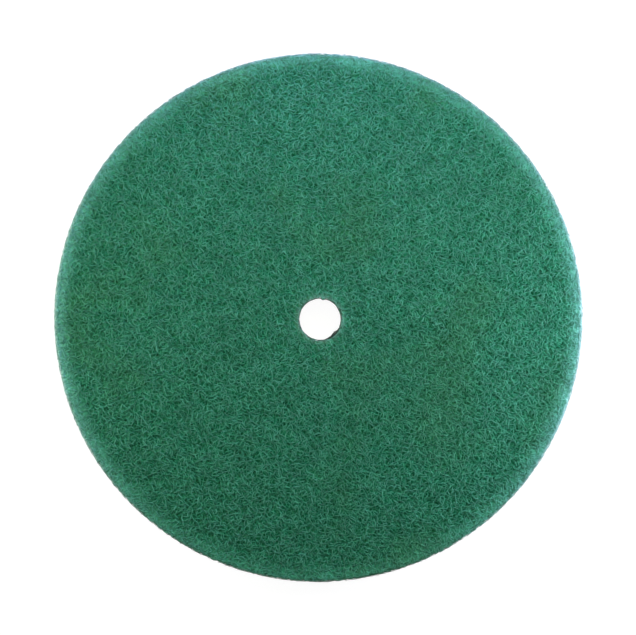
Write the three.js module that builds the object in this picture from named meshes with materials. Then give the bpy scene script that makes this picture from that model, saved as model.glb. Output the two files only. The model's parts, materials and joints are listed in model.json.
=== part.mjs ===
// Non-woven abrasive disc: a thick round floor pad, die-cut with a centre hole from a lofty web of crimped fibre
// that is bonded where the strands cross. It is one piece. Both faces are alike: knots of bonded strand lie in the
// face's plane, with open hollows between them, and a narrow smooth land runs beside each cut edge, where the die
// pinched the web. The part lies on one face. Millimetres, +Z up, origin at the centre of the underside.
import * as THREE from "three";

// The pad's own sizes
const padDiameter = 406.4;
const padThickness = 25;
const rimRounding = 3.5; // the cut edge springs back round

// The centre hole, which the die cut a little off centre
const holeDiameter = 31.75;
const holeOffsetX = 1.3;
const holeOffsetY = -1.2;
const holeRounding = 1.5;

// A lip of lower fibre that the die left standing in the hole, and a tuft at the hole's upper edge
const lipReach = 1.2;
const lipAngle = -47; // degrees from +X
const lipSpan = 44; // degrees
const tuftReach = 0.9;
const tuftAngle = 79;
const tuftSpan = 20;

// The web: knots about one pitch apart, with hollows between them that sink by their depth, more or less
const webPitch = 8;
const faceHollow = 3;
const rimHollow = 1.8;
const hollowSpread = 0.35; // a hollow's depth varies by this share either way
const knotSink = 0.5; // a knot lies up to this much under the highest ones
const wander = 0.18; // a knot strays from its even place by this share of the pitch either way
const chance = 3; // how freely the hollows are placed: 0 packs them as closely as they go
const webSeed = 16; // picks one web from the many that are alike

// The smooth lands beside the two cut edges
const rimLand = 5;
const holeLand = 6;

// How finely the round forms are drawn
const holeSegments = 48;
const cornerSteps = 2;

const padColour = 0x2e6e55;

// A repeatable source of numbers from 0 to 1
function randomSource(seed) {
  let state = seed;
  return () => {
    state = (state + 0x6d2b79f5) | 0;
    let mixed = Math.imul(state ^ (state >>> 15), 1 | state);
    mixed = (mixed + Math.imul(mixed ^ (mixed >>> 7), 61 | mixed)) ^ mixed;
    return ((mixed ^ (mixed >>> 14)) >>> 0) / 4294967296;
  };
}

const random = randomSource(webSeed);
const spread = (amount) => (2 * random() - 1) * amount;

const rimRadius = padDiameter / 2;
const holeRadius = holeDiameter / 2;

// A straight stretch of the section, as stops from one end up to, but not including, the other. The section's x is
// the radius and its y the height. inward points into the pad, and hollow is how deep the web is open between the
// stretch's ends. A stretch with no hollow is smooth.
function straightStretch(from, to, hollow) {
  const along = to.clone().sub(from).normalize();
  const inward = new THREE.Vector2(-along.y, along.x);
  const steps = Math.max(1, Math.ceil(from.distanceTo(to) / webPitch));
  return Array.from({ length: steps }, (_, step) => ({
    at: from.clone().lerp(to, step / steps),
    along,
    inward,
    hollow: step > 0 ? hollow : 0,
  }));
}

// A rounded corner of the section, from one angle to the next, turning the same way as the section runs.
function cornerStretch(centre, radius, fromAngle) {
  return Array.from({ length: cornerSteps }, (_, step) => {
    const angle = fromAngle + ((Math.PI / 2) * step) / cornerSteps;
    const outward = new THREE.Vector2(Math.cos(angle), Math.sin(angle));
    return {
      at: centre.clone().addScaledVector(outward, radius),
      along: new THREE.Vector2(-outward.y, outward.x),
      inward: outward.clone().negate(),
      hollow: 0,
    };
  });
}

// The section all the way round: underside outwards, up the rim, top face inwards, and down the hole.
function sectionStops() {
  const top = padThickness;
  const holeFlat = holeRadius + holeRounding;
  const rimFlat = rimRadius - rimRounding;
  const webStart = holeFlat + holeLand;
  const webEnd = rimFlat - rimLand;
  const point = (radius, height) => new THREE.Vector2(radius, height);
  return [
    straightStretch(point(holeFlat, 0), point(webStart, 0), 0),
    straightStretch(point(webStart, 0), point(webEnd, 0), faceHollow),
    straightStretch(point(webEnd, 0), point(rimFlat, 0), 0),
    cornerStretch(point(rimFlat, rimRounding), rimRounding, -Math.PI / 2),
    straightStretch(point(rimRadius, rimRounding), point(rimRadius, top - rimRounding), rimHollow),
    cornerStretch(point(rimFlat, top - rimRounding), rimRounding, 0),
    straightStretch(point(rimFlat, top), point(webEnd, top), 0),
    straightStretch(point(webEnd, top), point(webStart, top), faceHollow),
    straightStretch(point(webStart, top), point(holeFlat, top), 0),
    cornerStretch(point(holeFlat, top - holeRounding), holeRounding, Math.PI / 2),
    straightStretch(point(holeRadius, top - holeRounding), point(holeRadius, holeRounding), 0),
    cornerStretch(point(holeFlat, holeRounding), holeRounding, Math.PI),
  ].flat();
}

// A smooth bump over a span of angles: 1 in its middle and 0 at its ends
function bump(angle, middle, span) {
  const away = Math.abs(THREE.MathUtils.euclideanModulo(angle - middle + 180, 360) - 180);
  return away < span / 2 ? Math.cos((Math.PI * away) / span) ** 2 : 0;
}

// How far the web stands into the hole at an angle and a height on the hole's wall
function leftInHole(angle, height) {
  const rise = height / padThickness;
  const lip = lipReach * bump(angle, lipAngle, lipSpan) * Math.max(0, 1 - rise);
  const tuft = tuftReach * bump(angle, tuftAngle, tuftSpan) * rise;
  return lip + tuft;
}

// One ring of knots round the axis at a stop of the section. Its centre drifts from the pad's to the hole's.
function ringAt(stop, order) {
  const { at, along, inward, hollow } = stop;
  const byHole = at.x <= holeRadius + holeRounding;
  const fitting = (2 * Math.PI * at.x) / webPitch;
  const count = byHole ? holeSegments : 4 * Math.round(fitting / 4);
  const turned = order % 2 ? 0.5 : 0;
  const strays = hollow > 0 ? wander * webPitch : 0;
  const offset = (rimRadius - at.x) / (rimRadius - holeRadius);
  return Array.from({ length: count }, (_, place) => {
    const even = (2 * Math.PI * (place + turned)) / count;
    const angle = even + spread(strays) / at.x;
    const knot = at.clone().addScaledVector(along, spread(strays));
    if (byHole) knot.x -= leftInHole(THREE.MathUtils.radToDeg(angle), at.y);
    return { even, angle, knot, inward, hollow, offset };
  });
}

// Triangles between two neighbouring rings, which may hold different numbers of knots. first and second are the
// indices at which the rings start.
function bridge(ring, first, next, second) {
  const triangles = [];
  const evenAngle = (knots, place) => knots[place % knots.length].even + (place < knots.length ? 0 : 2 * Math.PI);
  let here = 0;
  let there = 0;
  while (here < ring.length || there < next.length) {
    const a = first + (here % ring.length);
    const b = second + (there % next.length);
    const stepHere = there === next.length
      || (here < ring.length && evenAngle(ring, here + 1) <= evenAngle(next, there + 1));
    if (stepHere) {
      here += 1;
      triangles.push([a, first + (here % ring.length), b]);
    } else {
      there += 1;
      triangles.push([a, second + (there % next.length), b]);
    }
  }
  return triangles;
}

// Picks the points that sink as hollows. Each is walled in by knots, and the next is the free point with the most
// knots round it, or one with a few less by chance, so the hollows pack closely but not evenly.
function pickHollows(points, triangles) {
  const neighbours = points.map(() => new Set());
  for (const triangle of triangles) {
    for (const one of triangle) {
      for (const other of triangle) if (other !== one) neighbours[one].add(other);
    }
  }
  const rank = points.map(() => random() * chance);
  const free = new Set(points.keys().filter((index) => points[index].hollow > 0));
  const hollows = new Set();
  while (free.size > 0) {
    const best = [...free].reduce((one, other) => (rank[other] > rank[one] ? other : one));
    hollows.add(best);
    free.delete(best);
    for (const knot of neighbours[best]) {
      if (!free.delete(knot)) continue;
      for (const next of neighbours[knot]) rank[next] += 1;
    }
  }
  return hollows;
}

// The disc's surface: rings of knots all round the section, joined ring to ring into one closed skin.
function webGeometry() {
  const rings = sectionStops().map(ringAt);
  const starts = [];
  let total = 0;
  for (const ring of rings) {
    starts.push(total);
    total += ring.length;
  }
  const triangles = rings.flatMap((ring, order) => {
    const after = (order + 1) % rings.length;
    return bridge(ring, starts[order], rings[after], starts[after]);
  });
  const points = rings.flat();
  const hollows = pickHollows(points, triangles);
  const positions = points.flatMap((point, index) => {
    const sunk = point.hollow > 0 ? random() * knotSink : 0;
    const depth = hollows.has(index) ? point.hollow * (1 + spread(hollowSpread)) : sunk;
    const { x: radius, y: height } = point.knot.clone().addScaledVector(point.inward, depth);
    return [
      radius * Math.cos(point.angle) + holeOffsetX * point.offset,
      radius * Math.sin(point.angle) + holeOffsetY * point.offset,
      height,
    ];
  });
  const geometry = new THREE.BufferGeometry();
  geometry.setAttribute("position", new THREE.Float32BufferAttribute(positions, 3));
  geometry.setIndex(triangles.flat());
  geometry.computeVertexNormals();
  return geometry;
}

function abrasiveDisc() {
  const material = new THREE.MeshStandardMaterial({ color: padColour, roughness: 0.9, metalness: 0 });
  const disc = new THREE.Mesh(webGeometry(), material);
  disc.name = "abrasive_disc";
  return disc;
}

const part = new THREE.Group();
part.add(abrasiveDisc());

export default part;
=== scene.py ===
"""Looks of the non-woven abrasive disc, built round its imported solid.

The disc is a core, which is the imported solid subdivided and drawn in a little, with curved strands of coated
fibre laid over both faces, round the rim and down the hole. Metres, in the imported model's frame: the disc
lies on z = 0 and its axis is Z. The camera looks straight down, with +Y up the picture.
"""
import json
import math
from collections import namedtuple

import bpy
import numpy as np
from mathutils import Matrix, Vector
from mathutils.bvhtree import BVHTree

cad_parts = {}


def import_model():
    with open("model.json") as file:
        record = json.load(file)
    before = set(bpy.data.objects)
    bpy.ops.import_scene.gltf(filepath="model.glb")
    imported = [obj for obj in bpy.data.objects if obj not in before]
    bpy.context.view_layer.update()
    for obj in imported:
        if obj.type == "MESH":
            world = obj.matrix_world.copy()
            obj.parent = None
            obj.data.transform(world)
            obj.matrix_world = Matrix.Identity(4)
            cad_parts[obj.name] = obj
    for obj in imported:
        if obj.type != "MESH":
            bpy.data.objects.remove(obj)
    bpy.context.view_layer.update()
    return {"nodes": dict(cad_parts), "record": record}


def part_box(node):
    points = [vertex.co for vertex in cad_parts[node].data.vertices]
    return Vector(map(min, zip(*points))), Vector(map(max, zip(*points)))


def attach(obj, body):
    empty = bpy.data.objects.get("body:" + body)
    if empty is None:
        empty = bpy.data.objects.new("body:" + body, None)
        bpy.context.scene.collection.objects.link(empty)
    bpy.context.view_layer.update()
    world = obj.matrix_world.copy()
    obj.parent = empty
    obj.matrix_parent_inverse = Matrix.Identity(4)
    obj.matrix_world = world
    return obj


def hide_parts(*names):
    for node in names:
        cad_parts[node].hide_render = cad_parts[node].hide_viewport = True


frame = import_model()

NODE = "abrasive_disc"
MM = 0.001
WELD = 0.001 * MM  # vertices closer than this lie in one place

# The seed of each piece's random numbers
SEEDS = {
    "web_core": 16,
    "top_strands_upper": 17,
    "top_strands_lower": 18,
    "under_strands_upper": 117,
    "under_strands_lower": 118,
    "edge_strands": 217,
}

# The picture, in the photograph's pixels
PICTURE_WIDTH = 636
DISC_WIDTH_IN_PICTURE = 529.5
DISC_CENTRE_RIGHT_OF_MIDDLE = 0.32
DISC_CENTRE_BELOW_MIDDLE = 0.13
SENSOR_WIDTH = 36.0
LENS = 100.0
VIEW_REACH = 20.0  # metres

# The solid's rounded edges, as part.mjs has them
RIM_ROUNDING = 3.5 * MM
HOLE_ROUNDING = 1.5 * MM

# The lip and tuft that stand into the hole, a little sharper than in the solid. Angles are degrees from +X.
LIP_REACH, LIP_ANGLE, LIP_SPAN = 1.9 * MM, -47.0, 56.0
LIP_SLANT, SLANT_SPAN = 1.4 * MM, 76.0  # how far the hole's top edge stands back over the lip
TUFT_REACH, TUFT_ANGLE, TUFT_SPAN = 2.1 * MM, 82.0, 16.0
CORE_LEFT_SHARE = 0.6  # how much of that the core follows

# The core
CORE_CUTS = 2  # how often each of the solid's triangles is cut into four
RELAX_SHARE, RELAX_TIMES = 0.5, 2
CORE_INSET = 1.9 * MM
CORE_EDGE_INSET = 0.9 * MM
OPENS_FROM_RIM = 12.5 * MM  # the width over which the web opens out beside the rim
OPENS_FROM_HOLE = 6.0 * MM
HOLLOW_SHARE = 0.35  # how much of the solid's hollows is left once lower strands fill them
CORE_PIT_DEPTH = 0.8 * MM
CORE_PIT_SPACING = 4.0 * MM
CORE_PIT_VARIES = (0.7, 1.5)
CORE_PIT_WAVES = 14
CORE_PIT_SHARPNESS = 1.3
CORE_EDGE_PITS = 0.25  # how much of the pits' depth is left at the cut edges

# The core's bake map: a disc for each face, and above them a strip for each wall
MAP_DISC_RADIUS, MAP_DISC_CENTRE, MAP_DISCS_APART = 0.245, 0.25, 0.5
MAP_STRIP_LEFT, MAP_STRIP_WIDTH = 0.01, 0.96
MAP_STRIP_BOTTOM, MAP_STRIP_HEIGHT, MAP_STRIPS_APART = 0.55, 0.18, 0.25
WALL_SHARE = 0.6  # the share of a rounded edge that goes to the wall's strip

# A strand is a line through a few points, with a tip at either end and a ring of three corners at each other
STRAND_POINTS = 4
RING_COUNT = STRAND_POINTS - 2
STRAND_FLATNESS = 0.30  # a strand's height over its width
UNEVEN = (0.8, 1.2)  # a strand's steps and rings vary by these shares
ENDS_SINK = (0.4, 1.2)  # the ends dive by these shares of a layer's dive
ENDS_TILT = 0.35  # and tilt by up to this share of it
MAP_MARGIN = 0.08  # round each strand's cell of the bake map

# A layer of strands: the step between a strand's points, the least and most depth, how far the ends dive, the
# least and most radius, and how much of the solid's hollows the strands follow
Layer = namedtuple("Layer", "step shallow deep dive thin thick sag", defaults=[0.0])
UPPER = Layer(2.2 * MM, 0.0 * MM, 0.6 * MM, 0.5 * MM, 0.33 * MM, 0.47 * MM, 0.1)
LOWER = Layer(2.3 * MM, 0.5 * MM, 1.2 * MM, 0.5 * MM, 0.37 * MM, 0.52 * MM, 0.2)
EDGE_LAYER = Layer(2.0 * MM, -0.1 * MM, 0.35 * MM, 0.3 * MM, 0.30 * MM, 0.44 * MM)
TOP_SPACING = 2.80 * MM  # between the strands' middles
UNDER_SPACING = 3.35 * MM
UNDER_COARSER = 1.2  # the underside's strands are larger by this
EDGE_STRAND_COUNT = 11000

# The tightest and loosest radius to which strands are bent
FACE_BENDS = (2.2 * MM, 10 * MM)
EDGE_BENDS = (3.0 * MM, 14 * MM)

RELIEF_SHADE = 0.15  # painted shade: how much deeper the strands over a hollow are coloured, for each depth of hollow
RELIEF_CAP = 5.0 * MM
STRAY_SHARE = 0.14  # the share of the rim's strands that stick out at one end
STRAY_REACH = 1.1 * MM
STRAY_VARIES = (0.4, 1.0)
HOLE_STANDS_OUT = 0.2 * MM  # how much further out the hole's strands lie

# The fibre's colours
PALE = (0.063, 0.252, 0.160, 1)
FRESH = (0.040, 0.230, 0.130, 1)
# Painted shade: darker and yellower colours for fibre deeper in the web
SHADED = (0.018, 0.200, 0.096, 1)
PAINTED_DEEP_SHADE = (0.005, 0.118, 0.048, 1)
# Painted light on the rim, as if lit through its thin fibre, and paler still at its outermost edge
RIM_PAINTED_GLOW = (0.128, 0.385, 0.315, 1)
RIM_EDGE_PAINTED_GLOW = (0.40, 0.58, 0.55, 1)
HOLE_PALE = (0.150, 0.280, 0.215, 1)
OLIVE = (0.040, 0.170, 0.060, 1)

# Depths in millimetres, over which a colour darkens into the next, and over which the pits' painted shade
# grows strong
TO_SHADED = (0.2, 1.8)
TO_PAINTED_DEEP_SHADE = (1.5, 3.5)
TO_STRONG_PITS = (0.0, 1.4)

# A noise pattern: its cells to the metre, detail and roughness, and what it gives, from least to most, as the
# noise goes from its start to its end
Pattern = namedtuple("Pattern", "scale detail roughness start end least most")
PATCH = Pattern(14.0, 2.0, 0.5, 0.52, 0.72, 0.0, 0.35)  # the share of olive
CLOUD = Pattern(55.0, 3.0, 0.6, 0.30, 0.70, 0.915, 1.085)  # lightness, as the two below
MOTTLE = Pattern(225.0, 0.0, 0.5, 0.25, 0.75, 0.885, 1.115)
GRIT = Pattern(2600.0, 2.0, 0.5, 0.35, 0.65, 0.90, 1.10)

# Cell patterns: painted shade in small pits between the fibres, and the core's net of bonded fibre
PIT_SCALE = 320.0
PIT_FADE = (0.12, 0.46)
PIT_PAINTED_SHADE = (0.30, 0.50)  # painted shade in the pits, near the top and deep down
NET_SCALE = 300.0
NET_STRETCH = (1.0, 1.0, 0.35)
NET_FADE = (0.04, 0.16)
NET_STRENGTH = 0.8

# The fibre's surface
ROUGHNESS_FADE = (0.3, 0.7)
FIBRE_ROUGHNESS = (0.48, 0.68)
FIBRE_SPECULAR = 0.12
BUMP_STRENGTH = 0.6
STRAND_BUMP = 0.12 * MM
CORE_BUMP = 0.8 * MM
CORE_CELL_HEIGHT, CORE_GRIT_HEIGHT = 2.0, 0.3

# The cut edges. Painted light: the rim is palest at the picture's right and left, and at its outermost edge.
RIM_GLOW_WIDTH = 18 * MM
RIM_GLOW_POWER = 1.7
GLOW_AT_BOTTOM = (0.05, 0.85)  # from the lower end of the disc up to GLOW_FROM
GLOW_FROM = -50 * MM
GLOW_AT_TOP = (1.0, 0.45)  # from the middle to the upper end
BY_FACE = (0.22, 0.42)  # from this to that share of the thickness away from its middle, wall turns into edge
WALL_GLOW_SHARE = 0.6
WALL_EDGE_GLOW_SHARE = 0.15
EDGE_GLOW_WIDTH = 4 * MM
EDGE_GLOW_MOST = 0.9
HOLE_PALE_WIDTH = 5 * MM
HOLE_PALE_SHARE = 0.5
DOWN_HOLE = (1.0 * MM, 2.2 * MM)  # past the hole's wall, the painted shade down the hole ends over this width
DOWN_HOLE_FROM = 1.0 * MM  # and it starts this far under the top
DOWN_HOLE_FULL = 0.7  # and is full at this share of the thickness
DOWN_HOLE_PAINTED_SHADE = 0.75

# The floor and what is all round
FLOOR_HALF_WIDTH = 3.0
FLOOR_GLOW = 0.96
FLOOR_SHADE = 0.14
FLOOR_GREY = 0.80
WORLD_LIGHT = 0.15

# Soft round lamps: where each one is, where it points, its width, its power and its colour
Lamp = namedtuple("Lamp", "name place target width power colour")
LAMPS = (
    Lamp("key", (0.05, 0.30, 0.45), (0.05, 0.16, 0.0), 0.5, 1.81, (0.92, 1.0, 0.62)),
    Lamp("top", (0.0, 0.40, 0.18), (0.0, 0.15, 0.0), 0.25, 0.92, (1.10, 1.0, 2.10)),
    Lamp("right", (0.42, -0.02, 0.16), (0.15, 0.0, 0.0), 0.2, 2.01, (0.97, 1.0, 1.29)),
    Lamp("left", (-0.45, 0.0, 0.18), (-0.15, 0.0, 0.0), 0.2, 1.35, (0.98, 1.0, 0.90)),
)


def solid_surface(node):
    """The vertices and triangles of a CAD node, with the vertices that lie in one place made one."""
    mesh = frame["nodes"][node].data
    mesh.calc_loop_triangles()
    points = np.empty(len(mesh.vertices) * 3)
    mesh.vertices.foreach_get("co", points)
    points = points.reshape(-1, 3)
    triangles = np.empty(len(mesh.loop_triangles) * 3, np.int64)
    mesh.loop_triangles.foreach_get("vertices", triangles)
    keys = np.round(points / WELD).astype(np.int64)
    _, first, place = np.unique(keys, axis=0, return_index=True, return_inverse=True)
    return points[first], place.reshape(-1)[triangles.reshape(-1, 3)]


def hole_distances(points):
    return np.hypot(*(points[:, :2] - HOLE_CENTRE).T)


def measured_hole_radius(points):
    """The radius of the hole's wall, from the solid's points near it. The lip and the tuft don't sway it."""
    distances = hole_distances(points)
    return float(np.quantile(distances[distances < distances.min() + HOLE_ROUNDING], 0.5))


low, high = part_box(NODE)
RIM_RADIUS = (high.x - low.x) / 2
THICKNESS = high.z - low.z
hole_box = np.array(frame["record"]["physics"]["openings"][0]["box_m"])
HOLE_CENTRE = (hole_box[0, :2] + hole_box[1, :2]) / 2
cad_points, cad_triangles = solid_surface(NODE)
cad_tree = BVHTree.FromPolygons(cad_points.tolist(), cad_triangles.tolist())
HOLE_RADIUS = measured_hole_radius(cad_points)

# A cut edge, where a face's flat turns down into a wall. sign is 1 if the radius grows towards the wall.
Edge = namedtuple("Edge", "centre flat_radius sign rounding")
RIM = Edge(np.zeros(2), RIM_RADIUS - RIM_ROUNDING, 1, RIM_ROUNDING)
HOLE = Edge(HOLE_CENTRE, HOLE_RADIUS + HOLE_ROUNDING, -1, HOLE_ROUNDING)


def mesh_object(name, points, triangles, places, **values):
    """A piece of the disc: a smooth mesh, with its corners' places on the bake map, and one number for each
    vertex under each of the other names."""
    mesh = bpy.data.meshes.new(name)
    mesh.vertices.add(len(points))
    mesh.vertices.foreach_set("co", points.astype(np.float32).ravel())
    mesh.loops.add(triangles.size)
    mesh.loops.foreach_set("vertex_index", triangles.astype(np.int32).ravel())
    mesh.polygons.add(len(triangles))
    mesh.polygons.foreach_set("loop_start", np.arange(0, triangles.size, 3, dtype=np.int32))
    mesh.update(calc_edges=True)
    mesh.shade_smooth()
    uv_map = mesh.uv_layers.new(name="OFBake")
    uv_map.uv.foreach_set("vector", places.astype(np.float32).ravel())
    for label, numbers in values.items():
        attribute = mesh.attributes.new(label, "FLOAT", "POINT")
        attribute.data.foreach_set("value", np.asarray(numbers, np.float32))
    piece = bpy.data.objects.new(name, mesh)
    bpy.context.scene.collection.objects.link(piece)
    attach(piece, "root")
    return piece


def unit(vectors):
    return vectors / np.maximum(np.linalg.norm(vectors, axis=-1, keepdims=True), 1e-12)


def bump(angle, middle, span):
    """1 at the middle of a span of degrees and 0 past its ends, smoothly."""
    away = np.abs((np.degrees(angle) - middle + 180) % 360 - 180)
    return np.where(away < span / 2, np.cos(math.pi * away / span) ** 2, 0.0)


def stood_back(angle):
    """How far the hole's top edge stands back."""
    return LIP_SLANT * bump(angle, LIP_ANGLE, SLANT_SPAN)


def left_in_hole(angle, height):
    """How far the web stands into the hole."""
    rise = height / THICKNESS
    lip = LIP_REACH * (1 - rise) * bump(angle, LIP_ANGLE, LIP_SPAN)
    tuft = TUFT_REACH * rise * bump(angle, TUFT_ANGLE, TUFT_SPAN)
    return lip + tuft - rise * stood_back(angle)


# The developed surface: a place on it is a distance past a face's flat, over a rounded edge and down a wall.
def round_edge(past, edge):
    """Radius, height and outward normal (radial, up) at a distance past the top face's flat."""
    arc = math.pi / 2 * edge.rounding
    wall = THICKNESS - 2 * edge.rounding
    upper = np.clip(past / edge.rounding, 0, math.pi / 2)
    lower = np.clip((past - arc - wall) / edge.rounding, 0, math.pi / 2)
    angle = upper + lower
    down = np.clip(past - arc, 0, wall)
    beyond = np.clip(past - 2 * arc - wall, 0, None)
    out = np.minimum(past, 0) + edge.rounding * np.sin(angle) - beyond
    radius = edge.flat_radius + edge.sign * out
    height = THICKNESS - edge.rounding * (1 - np.cos(upper)) - down - edge.rounding * np.sin(lower)
    return radius, height, edge.sign * np.sin(angle), np.cos(angle)


def wall_radius(edge):
    return edge.flat_radius + edge.sign * edge.rounding


def on_face(plane, depth, top):
    """Points at a depth under a face, as if it were the top one, from places in its plane. Past the face they
    follow the edges down."""
    from_axis = np.hypot(plane[..., 0], plane[..., 1])
    to_hole = plane - HOLE_CENTRE
    from_hole = np.hypot(to_hole[..., 0], to_hole[..., 1])
    hole = HOLE
    if top:
        angle = np.arctan2(to_hole[..., 1], to_hole[..., 0])
        hole = HOLE._replace(flat_radius=HOLE.flat_radius + stood_back(angle))
    near_hole = from_hole < hole.flat_radius
    centre = np.where(near_hole[..., None], HOLE.centre, RIM.centre)
    distance = np.where(near_hole, from_hole, from_axis)
    outward = (plane - centre) / np.maximum(distance, 1e-9)[..., None]
    at_rim = round_edge(from_axis - RIM.flat_radius, RIM)
    at_hole = round_edge(hole.flat_radius - from_hole, hole)
    radius, height, radial, up = (np.where(near_hole, *both) for both in zip(at_hole, at_rim))
    flat = centre + outward * (radius - depth * radial)[..., None]
    return np.concatenate([flat, (height - depth * up)[..., None]], axis=-1)


def on_wall(plane, depth, edge):
    """Points at a depth under an edge's wall, from places along and down it."""
    radius, height, radial, up = round_edge(plane[..., 1], edge)
    angle = plane[..., 0] / wall_radius(edge)
    radius = radius - depth * radial
    if edge is HOLE:
        radius = radius - left_in_hole(angle, height) * np.abs(radial)
    x = edge.centre[0] + radius * np.cos(angle)
    y = edge.centre[1] + radius * np.sin(angle)
    return np.stack([x, y, height - depth * up], axis=-1)


def crimped_lines(random, middles, step, bends):
    """Plane curves of points about a step apart, each with its own heading and bend, centred on middles."""
    number = len(middles)
    steps = step * random.uniform(*UNEVEN, (number, 1))
    heading = random.uniform(0, 2 * math.pi, (number, 1))
    bend = 1 / random.uniform(*bends, (number, 1)) * random.choice([-1, 1], (number, 1))
    turn_back = random.uniform(-1, 1, (number, 1))
    place = np.arange(STRAND_POINTS - 1) - (STRAND_POINTS - 2) / 2
    heading = heading + steps * bend * (place + turn_back * place ** 2 / 3)
    moves = steps[..., None] * np.stack([np.cos(heading), np.sin(heading)], axis=-1)
    line = np.concatenate([np.zeros((number, 1, 2)), np.cumsum(moves, axis=1)], axis=1)
    return line - line.mean(axis=1, keepdims=True) + middles[:, None]


def arched_depths(random, number, layer):
    """Depths along strands whose middles lie in the layer and whose ends dive and tilt into the web."""
    middle = random.uniform(layer.shallow, layer.deep, number)
    place = np.linspace(-1, 1, STRAND_POINTS)
    tilt = random.uniform(-ENDS_TILT, ENDS_TILT, (number, 1)) * layer.dive
    sink = random.uniform(*ENDS_SINK, (number, 1)) * layer.dive
    return middle[:, None] + sink * place ** 2 + tilt * place


def strand_template():
    """Triangles of one strand, three-sided with pointed ends, and their corners' places in a unit square."""
    last = 1 + 3 * RING_COUNT
    rise = 1 / (RING_COUNT + 1)
    triangles, places = [], []
    for side in range(3):
        after = (side + 1) % 3
        left, right = side / 3, (side + 1) / 3
        middle = (left + right) / 2
        triangles.append((0, 1 + after, 1 + side))
        places.append(((middle, 0), (right, rise), (left, rise)))
        for ring in range(RING_COUNT - 1):
            a, b = 1 + 3 * ring + side, 1 + 3 * ring + after
            under, over = rise * (ring + 1), rise * (ring + 2)
            triangles += [(a, b, b + 3), (a, b + 3, a + 3)]
            places.append(((left, under), (right, under), (right, over)))
            places.append(((left, under), (right, over), (left, over)))
        triangles.append((last, last - 3 + side, last - 3 + after))
        places.append(((middle, 1), (left, 1 - rise), (right, 1 - rise)))
    return np.array(triangles), np.array(places)


def strand_points(lines, radii, outwards):
    """The vertices of strands along lines: a tip, the corners of the rings, and a tip. radii has a number for
    each ring, and outwards gives each strand's way out of the web."""
    along = unit(np.gradient(lines, axis=1))
    side = unit(np.cross(along, outwards[:, None]))
    out = np.cross(side, along)
    corners = []
    for corner in range(3):
        angle = math.pi / 2 + 2 * math.pi * corner / 3
        spoke = math.cos(angle) * side[:, 1:-1] + STRAND_FLATNESS * math.sin(angle) * out[:, 1:-1]
        corners.append(lines[:, 1:-1] + radii[..., None] * spoke)
    rings = np.stack(corners, axis=2).reshape(len(lines), RING_COUNT * 3, 3)
    return np.concatenate([lines[:, :1], rings, lines[:, -1:]], axis=1)


def in_cells(places, number):
    """Bake places for a number of strands, each in its own cell of a square grid."""
    across = math.ceil(math.sqrt(number))
    order = np.arange(number)
    cell = np.stack([order % across, order // across], axis=-1)
    return (cell[:, None, None] + MAP_MARGIN + (1 - 2 * MAP_MARGIN) * places) / across


def strands(random, name, lines, depths, radii, outwards):
    """A piece made of many closed strands. outwards gives each strand's way out of the web."""
    number = len(lines)
    ring_radii = random.uniform(*UNEVEN, (number, RING_COUNT)) * radii[:, None]
    points = strand_points(lines, ring_radii, outwards)
    each = points.shape[1]
    triangles, places = strand_template()
    all_triangles = triangles + (np.arange(number) * each)[:, None, None]
    ring_depths = np.repeat(depths[:, 1:-1], 3, axis=1)
    depth = np.concatenate([depths[:, :1], ring_depths, depths[:, -1:]], axis=1)
    tint = np.repeat(random.uniform(0, 1, number), each)
    # The depth darkens the colours as painted shade; the tint is random from strand to strand
    return mesh_object(
        name, points.reshape(-1, 3), all_triangles.reshape(-1, 3), in_cells(places, number),
        depth=depth.ravel() / MM, tint=tint,
    )


def cad_relief(plane, top):
    """How far the solid's face lies under its highest knots at places in its plane, and 0 off the face."""
    start = THICKNESS + 10 * MM if top else -10 * MM
    way = Vector((0, 0, -1 if top else 1))
    found = np.zeros(plane.shape[:-1])
    for place, (x, y) in enumerate(plane.reshape(-1, 2)):
        hit = cad_tree.ray_cast(Vector((x, y, start)), way)[0]
        if hit is not None:
            found.flat[place] = THICKNESS - hit.z if top else hit.z
    return np.minimum(found, RELIEF_CAP)


def spread_on_face(random, spacing, top):
    """Places about a spacing apart over a face, from just inside the hole's edge to just past the flat."""
    steps = np.arange(-RIM_RADIUS, RIM_RADIUS, spacing)
    grid = np.stack(np.meshgrid(steps, steps), axis=-1).reshape(-1, 2)
    turn = random.uniform(0, math.pi / 2)
    turned = grid @ np.array([[math.cos(turn), math.sin(turn)], [-math.sin(turn), math.cos(turn)]])
    places = turned + random.uniform(-0.5, 0.5, turned.shape) * spacing
    x, y = (places - HOLE_CENTRE).T
    edge = HOLE_RADIUS + 0.5 * HOLE_ROUNDING
    if top:
        edge = edge + stood_back(np.arctan2(y, x))
    inside = (np.hypot(*places.T) < RIM_RADIUS) & (np.hypot(x, y) > edge)
    return places[inside]


def face_strands(name, top, layer, spacing):
    """The strands of one layer of a face. The underside is the top mirrored in the disc's middle plane."""
    random = np.random.default_rng(SEEDS[name])
    middles = spread_on_face(random, spacing, top)
    number = len(middles)
    plane = crimped_lines(random, middles, layer.step, FACE_BENDS)
    relief = cad_relief(plane, top)
    depths = arched_depths(random, number, layer) + layer.sag * relief
    radii = random.uniform(layer.thin, layer.thick, number)
    lines = on_face(plane, depths + radii[:, None], top)
    if not top:
        lines[..., 2] = THICKNESS - lines[..., 2]
    out = np.tile([0.0, 0.0, 1.0 if top else -1.0], (number, 1))
    middle_radius = np.hypot(*middles.T)
    past_flat = middle_radius > RIM.flat_radius
    out[past_flat, :2] = middles[past_flat] / middle_radius[past_flat, None]
    # Over the solid's hollows the strands are coloured as if deeper, as painted shade
    return strands(random, name, lines, depths + RELIEF_SHADE * relief, radii, unit(out))


def stray_ends(random, number):
    """How far strands stick out of the rim, point by point: most lie flat, and a few stand out at one end."""
    stray = random.random(number) < STRAY_SHARE
    reach = np.where(stray, random.uniform(*STRAY_VARIES, number) * STRAY_REACH, 0.0)
    return reach[:, None] * np.linspace(0, 1, STRAND_POINTS) ** 2


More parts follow.
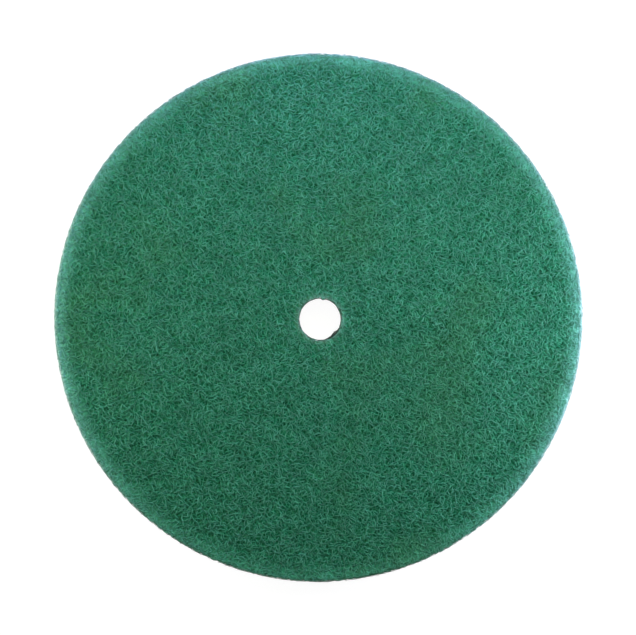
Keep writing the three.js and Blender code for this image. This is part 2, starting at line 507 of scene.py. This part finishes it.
def wall_lines(random, number, edge, layer):
    """Strands on an edge's wall: their lines, depths, radii and ways out of the web."""
    reach = math.pi * edge.rounding + THICKNESS - 2 * edge.rounding
    middles = random.uniform((0, 0), (2 * math.pi * wall_radius(edge), reach), (number, 2))
    plane = crimped_lines(random, middles, layer.step, EDGE_BENDS)
    depths = arched_depths(random, number, layer)
    depths -= HOLE_STANDS_OUT if edge is HOLE else stray_ends(random, number)
    radii = random.uniform(layer.thin, layer.thick, number)
    lines = on_wall(plane, depths + radii[:, None], edge)
    lines[..., 2] = np.clip(lines[..., 2], radii[:, None], THICKNESS - radii[:, None])
    _, _, radial, up = round_edge(middles[:, 1], edge)
    angle = middles[:, 0] / wall_radius(edge)
    outwards = np.stack([radial * np.cos(angle), radial * np.sin(angle), up], axis=-1)
    return lines, depths, radii, outwards


def wall_strands(name, number, layer):
    """The strands round the rim's wall and down the hole's, shared out by area."""
    random = np.random.default_rng(SEEDS[name])
    hole_share = HOLE_RADIUS / (HOLE_RADIUS + RIM_RADIUS)
    hole_number = int(number * hole_share)
    at_rim = wall_lines(random, number - hole_number, RIM, layer)
    at_hole = wall_lines(random, hole_number, HOLE, layer)
    return strands(random, name, *(np.concatenate(both) for both in zip(at_rim, at_hole)))


def face_layers(side, top, spacing, coarser):
    """The two layers of strands on a face."""
    pieces = []
    for level, layer in (("upper", UPPER), ("lower", LOWER)):
        sizes = {name: getattr(layer, name) * coarser for name in ("step", "thin", "thick")}
        pieces.append(face_strands(f"{side}_strands_{level}", top, layer._replace(**sizes), spacing))
    return pieces


def all_strands():
    top = face_layers("top", True, TOP_SPACING, 1.0)
    under = face_layers("under", False, UNDER_SPACING, UNDER_COARSER)
    return [*top, *under, wall_strands("edge_strands", EDGE_STRAND_COUNT, EDGE_LAYER)]


def cut_in_four(points, triangles):
    """The same surface with each triangle cut into four."""
    edges = np.sort(triangles[:, [0, 1, 1, 2, 2, 0]].reshape(-1, 2), axis=1)
    unique, place = np.unique(edges, axis=0, return_inverse=True)
    middle = place.reshape(-1, 3) + len(points)
    a, b, c = triangles.T
    ab, bc, ca = middle.T
    cut = np.stack([a, ab, ca, ab, b, bc, ca, bc, c, ab, bc, ca], axis=1).reshape(-1, 3)
    return np.concatenate([points, points[unique].mean(axis=1)]), cut


def relaxed(points, triangles):
    """The points drawn towards the mean of their neighbours."""
    edges = np.concatenate([triangles[:, [0, 1]], triangles[:, [1, 2]], triangles[:, [2, 0]]])
    around = np.bincount(edges[:, 0], minlength=len(points))
    for _ in range(RELAX_TIMES):
        sums = [np.bincount(edges[:, 0], points[edges[:, 1], axis], len(points)) for axis in range(3)]
        points = points + RELAX_SHARE * (np.stack(sums, axis=1) / around[:, None] - points)
    return points


def vertex_normals(points, triangles):
    corners = points[triangles]
    face = np.cross(corners[:, 1] - corners[:, 0], corners[:, 2] - corners[:, 0])
    total = np.zeros_like(points)
    for corner in range(3):
        for axis in range(3):
            total[:, axis] += np.bincount(triangles[:, corner], face[:, axis], len(points))
    return unit(total)


def pits(points, random):
    """0 to 1 at each point, and near 1 in pits, from waves that run in random directions."""
    total = np.zeros(len(points))
    for _ in range(CORE_PIT_WAVES):
        way = unit(random.normal(size=3))
        length = CORE_PIT_SPACING * random.uniform(*CORE_PIT_VARIES)
        total += np.sin(points @ way * 2 * math.pi / length + random.uniform(0, 7))
    return 1 / (1 + np.exp(-CORE_PIT_SHARPNESS * total / math.sqrt(CORE_PIT_WAVES / 2)))


def core_map(points, triangles):
    """Corners' places on the core's bake map."""
    corners = points[triangles]
    middle = corners.mean(axis=1)
    on_rim = np.hypot(middle[:, 0], middle[:, 1]) > RIM_RADIUS - WALL_SHARE * RIM_ROUNDING
    in_hole = hole_distances(middle) < HOLE_RADIUS + WALL_SHARE * HOLE_ROUNDING + CORE_INSET
    top = middle[:, 2] > THICKNESS / 2
    face_place = MAP_DISC_RADIUS * corners[..., :2] / RIM_RADIUS + MAP_DISC_CENTRE
    face_place[..., 0] += np.where(top, 0, MAP_DISCS_APART)[:, None]
    centre = np.where(in_hole[:, None], HOLE.centre, RIM.centre)[:, None]
    spoke = corners[..., :2] - centre
    turn = np.arctan2(spoke[..., 1], spoke[..., 0]) / (2 * math.pi) + 0.5
    turn = np.where((np.ptp(turn, axis=1) > 0.5)[:, None] & (turn < 0.5), turn + 1, turn)
    bottom = MAP_STRIP_BOTTOM + np.where(in_hole, MAP_STRIPS_APART, 0)[:, None]
    up = bottom + MAP_STRIP_HEIGHT * corners[..., 2] / THICKNESS
    wall_place = np.stack([MAP_STRIP_LEFT + MAP_STRIP_WIDTH * turn, up], axis=-1)
    return np.where((on_rim | in_hole)[:, None, None], wall_place, face_place)


def core_piece():
    """The web under the strands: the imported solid, subdivided, softened, drawn in and pitted."""
    random = np.random.default_rng(SEEDS["web_core"])
    points, triangles = cad_points, cad_triangles
    for _ in range(CORE_CUTS):
        points, triangles = cut_in_four(points, triangles)
    points = relaxed(points, triangles)
    from_rim = RIM.flat_radius - np.hypot(points[:, 0], points[:, 1])
    from_hole = hole_distances(points) - HOLE_RADIUS - HOLE_ROUNDING
    top = points[:, 2] > THICKNESS / 2
    sunk = np.where(top, THICKNESS - points[:, 2], points[:, 2])
    sunk[(from_rim < 0) | (from_hole < 0)] = 0
    points[:, 2] += np.where(top, 1, -1) * (1 - HOLLOW_SHARE) * sunk
    normals = vertex_normals(points, triangles)
    open_share = np.clip(np.minimum(from_rim / OPENS_FROM_RIM, from_hole / OPENS_FROM_HOLE), 0, 1)
    depth = CORE_EDGE_INSET + (CORE_INSET - CORE_EDGE_INSET) * open_share
    depth += CORE_PIT_DEPTH * (CORE_EDGE_PITS + (1 - CORE_EDGE_PITS) * open_share) * pits(points, random)
    x, y = (points[:, :2] - HOLE_CENTRE).T
    facing_hole = np.where(from_hole < 0, np.hypot(normals[:, 0], normals[:, 1]), 0)
    depth -= CORE_LEFT_SHARE * facing_hole * left_in_hole(np.arctan2(y, x), points[:, 2])
    # The depth, with what is left of the hollows, darkens the core's colours as painted shade
    piece = mesh_object(
        "web_core", points - normals * depth[:, None], triangles, core_map(points, triangles),
        depth=(depth + HOLLOW_SHARE * sunk) / MM, tint=np.full(len(points), 0.5),
    )
    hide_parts(NODE)
    return piece


class Nodes:
    """Short forms for building a node tree."""

    def __init__(self, tree):
        self.tree = tree
        tree.nodes.clear()

    def add(self, kind, settings=None, **inputs):
        node = self.tree.nodes.new(kind)
        for key, value in (settings or {}).items():
            setattr(node, key, value)
        for key, value in inputs.items():
            self.put(node.inputs[key.replace("_", " ")], value)
        return node

    def put(self, socket, value):
        if isinstance(value, bpy.types.NodeSocket):
            self.tree.links.new(value, socket)
        else:
            socket.default_value = value

    def join(self, kind, settings, *values):
        """A node whose first inputs take the values in order."""
        node = self.add(kind, settings)
        for socket, value in zip(node.inputs, values):
            self.put(socket, value)
        return node

    def math(self, operation, a, b=0.0):
        return self.join("ShaderNodeMath", {"operation": operation}, a, b).outputs[0]

    def product(self, first, *others):
        for other in others:
            first = self.math("MULTIPLY", first, other)
        return first

    def one_minus(self, share):
        return self.math("SUBTRACT", 1.0, share)

    def ramp(self, value, start, end, low_value=0.0, high_value=1.0):
        values = (value, start, end, low_value, high_value)
        return self.join("ShaderNodeMapRange", {"interpolation_type": "SMOOTHSTEP"}, *values).outputs[0]

    def blend(self, share, a, b, kind="MIX"):
        node = self.add("ShaderNodeMix", {"data_type": "RGBA", "blend_type": kind})
        self.put(node.inputs[0], share)
        self.put(node.inputs[6], a)
        self.put(node.inputs[7], b)
        return node.outputs[2]

    def distance(self, a, b):
        return self.join("ShaderNodeVectorMath", {"operation": "DISTANCE"}, a, b).outputs["Value"]

    def attribute(self, name):
        return self.add("ShaderNodeAttribute", {"attribute_name": name}).outputs["Fac"]

    def noise(self, place, pattern):
        return self.add(
            "ShaderNodeTexNoise", Vector=place, Scale=pattern.scale, Detail=pattern.detail,
            Roughness=pattern.roughness,
        ).outputs["Fac"]

    def given(self, noise, pattern):
        """What a pattern gives where its noise is as stated."""
        return self.ramp(noise, pattern.start, pattern.end, pattern.least, pattern.most)

    def cells(self, place, scale, feature="F1"):
        node = self.add("ShaderNodeTexVoronoi", {"feature": feature}, Vector=place, Scale=scale)
        return node.outputs["Distance"]


def fibre_colour(nodes, place, depth):
    """Pale to fresh green from strand to strand, darker and yellower deeper in the web as painted shade, and
    olive in patches.
    """
    colour = nodes.blend(nodes.attribute("tint"), FRESH, PALE)
    colour = nodes.blend(nodes.ramp(depth, *TO_SHADED), colour, SHADED)
    colour = nodes.blend(nodes.ramp(depth, *TO_PAINTED_DEEP_SHADE), colour, PAINTED_DEEP_SHADE)
    return nodes.blend(nodes.given(nodes.noise(place, PATCH), PATCH), colour, OLIVE)


def painted_rim_glow(nodes, from_axis, y):
    """Painted light at the rim, as if lit through its thin fibre: 0 inside the disc and up to 1 at the rim,
    less at the picture's top and least at its bottom.
    """
    near_rim = nodes.ramp(from_axis, RIM_RADIUS - RIM_GLOW_WIDTH, RIM_RADIUS)
    near_rim = nodes.math("POWER", near_rim, RIM_GLOW_POWER)
    low_down = nodes.ramp(y, -RIM_RADIUS, GLOW_FROM, *GLOW_AT_BOTTOM)
    high_up = nodes.ramp(y, 0.0, RIM_RADIUS, *GLOW_AT_TOP)
    return nodes.product(near_rim, low_down, high_up)


def rim_colour(nodes, colour, glow_share, from_axis, z):
    """Painted light: paler towards the rim, palest in a band at its outermost edge, and most at the edges of
    the two faces.
    """
    from_middle = nodes.math("ABSOLUTE", nodes.math("SUBTRACT", z, THICKNESS / 2))
    by_face = nodes.ramp(from_middle, *(share * THICKNESS for share in BY_FACE))
    rim_glow_share = nodes.product(glow_share, nodes.ramp(by_face, 0, 1, WALL_GLOW_SHARE, 1))
    colour = nodes.blend(rim_glow_share, colour, RIM_PAINTED_GLOW)
    edge_glow_share = nodes.product(
        glow_share,
        nodes.ramp(from_axis, RIM_RADIUS - EDGE_GLOW_WIDTH, RIM_RADIUS, 0.0, EDGE_GLOW_MOST),
        nodes.ramp(by_face, 0, 1, WALL_EDGE_GLOW_SHARE, 1),
    )
    return nodes.blend(edge_glow_share, colour, RIM_EDGE_PAINTED_GLOW)


def painted_hole_shade(nodes, from_hole, z):
    """Painted shade where the hole's lip lies in shadow: 0 on the faces and up to DOWN_HOLE_PAINTED_SHADE down
    the hole.
    """
    in_hole = nodes.ramp(from_hole, *(HOLE_RADIUS + past for past in DOWN_HOLE), 1.0, 0.0)
    down = nodes.ramp(z, THICKNESS - DOWN_HOLE_FROM, DOWN_HOLE_FULL * THICKNESS, 0.0, DOWN_HOLE_PAINTED_SHADE)
    return nodes.product(in_hole, down)


def bonded_net(nodes, colour, place):
    """The core's own look of fibre, as a net of fresh green lines."""
    stretched = nodes.join("ShaderNodeVectorMath", {"operation": "MULTIPLY"}, place, NET_STRETCH).outputs[0]
    to_line = nodes.cells(stretched, NET_SCALE, "DISTANCE_TO_EDGE")
    return nodes.blend(nodes.ramp(to_line, *NET_FADE, NET_STRENGTH, 0.0), colour, FRESH)


def fibre_shade(nodes, place, depth, cell, grit, pit_shade_share):
    """The fibre's lightness, about 1: uneven, gritty, and with painted shade in pits."""
    # Painted shade in the pits between the fibres, stronger deeper in the web and fading at the rim
    painted_pit_shade = nodes.product(
        nodes.ramp(cell, *PIT_FADE, 1.0, 0.0), nodes.ramp(depth, *TO_STRONG_PITS, *PIT_PAINTED_SHADE), pit_shade_share
    )
    return nodes.product(
        nodes.given(nodes.noise(place, CLOUD), CLOUD),
        nodes.given(nodes.noise(place, MOTTLE), MOTTLE),
        nodes.given(grit, GRIT),
        nodes.one_minus(painted_pit_shade),
    )


def fibre_surface(nodes, colour, cell, grit, core):
    """The fibre's shader: a little rough and gritty, and in the core hollow between the fibres."""
    height = grit
    if core:
        cell_height = nodes.product(cell, CORE_CELL_HEIGHT)
        height = nodes.math("ADD", cell_height, nodes.product(grit, CORE_GRIT_HEIGHT))
    depth = CORE_BUMP if core else STRAND_BUMP
    relief = nodes.add("ShaderNodeBump", Strength=BUMP_STRENGTH, Distance=depth, Height=height)
    return nodes.add(
        "ShaderNodeBsdfPrincipled", Base_Color=colour, Normal=relief.outputs["Normal"],
        Roughness=nodes.ramp(grit, *ROUGHNESS_FADE, *FIBRE_ROUGHNESS), Specular_IOR_Level=FIBRE_SPECULAR,
    )


def web_material(name, core):
    """Green resin-coated fibre, paler at the cut edges, where the rim's paleness is painted light, and darker
    and yellower deeper in the web, in pits and down the hole, as painted shade.
    """
    material = bpy.data.materials.new(name)
    material.use_nodes = True
    nodes = Nodes(material.node_tree)
    place = nodes.add("ShaderNodeTexCoord").outputs["Object"]
    x, y, z = nodes.add("ShaderNodeSeparateXYZ", Vector=place).outputs
    flat_place = nodes.add("ShaderNodeCombineXYZ", X=x, Y=y).outputs[0]
    from_axis = nodes.distance(flat_place, (0.0, 0.0, 0.0))
    from_hole = nodes.distance(flat_place, (*HOLE_CENTRE, 0.0))
    depth = nodes.attribute("depth")
    cell = nodes.cells(place, PIT_SCALE)
    grit = nodes.noise(place, GRIT)

    # Painted light at the rim, as if lit through its thin fibre
    glow_share = painted_rim_glow(nodes, from_axis, y)
    colour = rim_colour(nodes, fibre_colour(nodes, place, depth), glow_share, from_axis, z)
    hole_share = nodes.ramp(from_hole, HOLE_RADIUS, HOLE_RADIUS + HOLE_PALE_WIDTH, HOLE_PALE_SHARE, 0.0)
    colour = nodes.blend(hole_share, colour, HOLE_PALE)
    if core:
        colour = bonded_net(nodes, colour, place)

    # Painted shade in the pits and down the hole
    shade = nodes.product(
        fibre_shade(nodes, place, depth, cell, grit, nodes.one_minus(glow_share)),
        nodes.one_minus(painted_hole_shade(nodes, from_hole, z)),
    )
    grey = nodes.add("ShaderNodeCombineColor", Red=shade, Green=shade, Blue=shade).outputs[0]
    colour = nodes.blend(1.0, colour, grey, "MULTIPLY")
    shader = fibre_surface(nodes, colour, cell, grit, core)
    nodes.add("ShaderNodeOutputMaterial", Surface=shader.outputs["BSDF"])
    return material


def is_seen_directly(nodes):
    """1 for rays that the camera sends, also off gloss or through glass."""
    path = nodes.add("ShaderNodeLightPath")
    seen = nodes.math("MAXIMUM", path.outputs["Is Camera Ray"], path.outputs["Is Glossy Ray"])
    return nodes.math("MAXIMUM", seen, path.outputs["Is Transmission Ray"])


def plain_grey(nodes, level):
    return nodes.add("ShaderNodeBsdfDiffuse", Color=(level, level, level, 1)).outputs[0]


def floor():
    """A pale floor. Seen directly it glows white with a faint shadow, and for other light it is plain."""
    half = FLOOR_HALF_WIDTH
    corners = [(-half, -half, 0), (half, -half, 0), (half, half, 0), (-half, half, 0)]
    mesh = bpy.data.meshes.new("floor")
    mesh.from_pydata(corners, [], [(0, 1, 2, 3)])
    plane = bpy.data.objects.new("floor", mesh)
    bpy.context.scene.collection.objects.link(plane)
    material = bpy.data.materials.new("floor")
    material.use_nodes = True
    nodes = Nodes(material.node_tree)
    glow = nodes.add("ShaderNodeEmission", Strength=FLOOR_GLOW).outputs[0]
    seen = nodes.join("ShaderNodeAddShader", {}, plain_grey(nodes, FLOOR_SHADE), glow).outputs[0]
    plain = plain_grey(nodes, FLOOR_GREY)
    mix = nodes.join("ShaderNodeMixShader", {}, is_seen_directly(nodes), plain, seen)
    nodes.add("ShaderNodeOutputMaterial", Surface=mix.outputs[0])
    mesh.materials.append(material)


def world():
    """White behind everything, and a soft light from all round."""
    made = bpy.data.worlds.new("studio")
    bpy.context.scene.world = made
    made.use_nodes = True
    nodes = Nodes(made.node_tree)
    strength = nodes.math("MAXIMUM", is_seen_directly(nodes), WORLD_LIGHT)
    backdrop = nodes.add("ShaderNodeBackground", Color=(1, 1, 1, 1), Strength=strength)
    nodes.add("ShaderNodeOutputWorld", Surface=backdrop.outputs[0])


def area_light(lamp):
    light = bpy.data.lights.new(lamp.name, "AREA")
    light.shape = "DISK"
    light.size = lamp.width
    light.energy = lamp.power
    light.color = lamp.colour
    made = bpy.data.objects.new(lamp.name, light)
    made.location = lamp.place
    made.rotation_euler = (Vector(lamp.target) - Vector(lamp.place)).to_track_quat("-Z", "Y").to_euler()
    bpy.context.scene.collection.objects.link(made)


def camera():
    """Looks straight down on the disc, from where it is as wide as in the photograph."""
    data = bpy.data.cameras.new("camera")
    data.lens = LENS
    data.sensor_width = SENSOR_WIDTH
    data.clip_end = VIEW_REACH
    widest = THICKNESS - RIM_ROUNDING
    metres_per_pixel = 2 * RIM_RADIUS / DISC_WIDTH_IN_PICTURE
    distance = metres_per_pixel * PICTURE_WIDTH * LENS / SENSOR_WIDTH
    eye = bpy.data.objects.new("camera", data)
    eye.location = (
        -DISC_CENTRE_RIGHT_OF_MIDDLE * metres_per_pixel,
        DISC_CENTRE_BELOW_MIDDLE * metres_per_pixel,
        widest + distance,
    )
    bpy.context.scene.collection.objects.link(eye)
    bpy.context.scene.camera = eye


core = core_piece()
core.data.materials.append(web_material("green_web_core", True))
strand_material = web_material("green_web_strand", False)
for piece in all_strands():
    piece.data.materials.append(strand_material)

floor()
world()
for lamp in LAMPS:
    area_light(lamp)
camera()
bpy.context.scene.view_settings.view_transform = "Standard"
